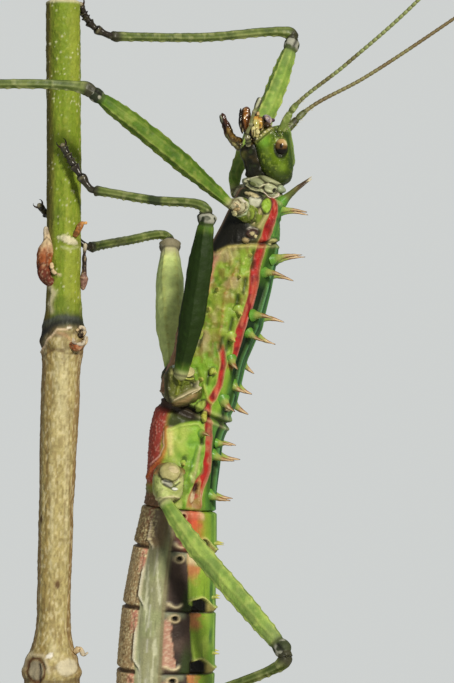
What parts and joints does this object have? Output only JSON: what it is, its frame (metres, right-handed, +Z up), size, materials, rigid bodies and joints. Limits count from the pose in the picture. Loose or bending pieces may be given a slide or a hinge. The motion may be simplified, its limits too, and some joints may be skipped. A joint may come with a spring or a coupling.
{
  "type": "stick insect",
  "caption": "Life-size spiny green stick insect climbing head-up on a short cut stem, one foreleg reaching out, long feelers forward, on a round wooden display stand",
  "frame": {"origin": "centre of the flat underside of the stand base", "axes": "+Z up along the stem and the insect, head up; +X towards which the insect's back faces; -Y is its left side"},
  "size_m": [0.0986, 0.092, 0.1477],
  "materials": {
    "stand_wood": "dark turned hardwood, satin oil finish",
    "stand_brass": "turned brass, lightly brushed",
    "stem_bark": "young yellow-green shoot above, dry tan bark with fine grain below",
    "trunk_cuticle": "granulated green cuticle with crimson side stripes, purple and beige below",
    "head_cuticle": "smooth olive green cuticle, waxy gloss",
    "eye": "glossy tan-brown eye with a dark lower half",
    "neck_membrane": "folded pale grey-beige membrane",
    "mouthparts": "golden-brown horny jaws and palps",
    "antenna": "ringed green-brown feeler",
    "coxa_cuticle": "beige and green granulated plates",
    "femur_cuticle": "green mottled with yellow, toothed edges",
    "tibia_cuticle": "pale grey-green, ridged, with dark bands",
    "tarsus_cuticle": "dark brown foot joints and claws"
  },
  "bodies": {
    "root": {"stand_base": "stand_wood", "stand_rod": "stand_brass", "perch_stem": "stem_bark", "prothorax": "trunk_cuticle", "mesothorax": "trunk_cuticle", "metathorax": "trunk_cuticle", "abdomen_2": "trunk_cuticle", "abdomen_3": "trunk_cuticle", "abdomen_4": "trunk_cuticle", "abdomen_5": "trunk_cuticle", "abdomen_6": "trunk_cuticle", "abdomen_7": "trunk_cuticle", "abdomen_8": "trunk_cuticle", "abdomen_9": "trunk_cuticle", "abdomen_10": "trunk_cuticle", "head": "head_cuticle", "eye_left": "eye", "eye_right": "eye", "neck": "neck_membrane", "mouthparts": "mouthparts", "antenna_left": "antenna", "antenna_right": "antenna", "coxa_fore_left": "coxa_cuticle", "femur_fore_left": "femur_cuticle", "tibia_fore_left": "tibia_cuticle", "tarsus_fore_left": "tarsus_cuticle", "coxa_fore_right": "coxa_cuticle", "femur_fore_right": "femur_cuticle", "tibia_fore_right": "tibia_cuticle", "tarsus_fore_right": "tarsus_cuticle", "coxa_mid_left": "coxa_cuticle", "femur_mid_left": "femur_cuticle", "tibia_mid_left": "tibia_cuticle", "tarsus_mid_left": "tarsus_cuticle", "coxa_mid_right": "coxa_cuticle", "femur_mid_right": "femur_cuticle", "tibia_mid_right": "tibia_cuticle", "tarsus_mid_right": "tarsus_cuticle", "coxa_hind_left": "coxa_cuticle", "femur_hind_left": "femur_cuticle", "tibia_hind_left": "tibia_cuticle", "tarsus_hind_left": "tarsus_cuticle", "coxa_hind_right": "coxa_cuticle", "femur_hind_right": "femur_cuticle", "tibia_hind_right": "tibia_cuticle", "tarsus_hind_right": "tarsus_cuticle"}
  },
  "joints": []
}
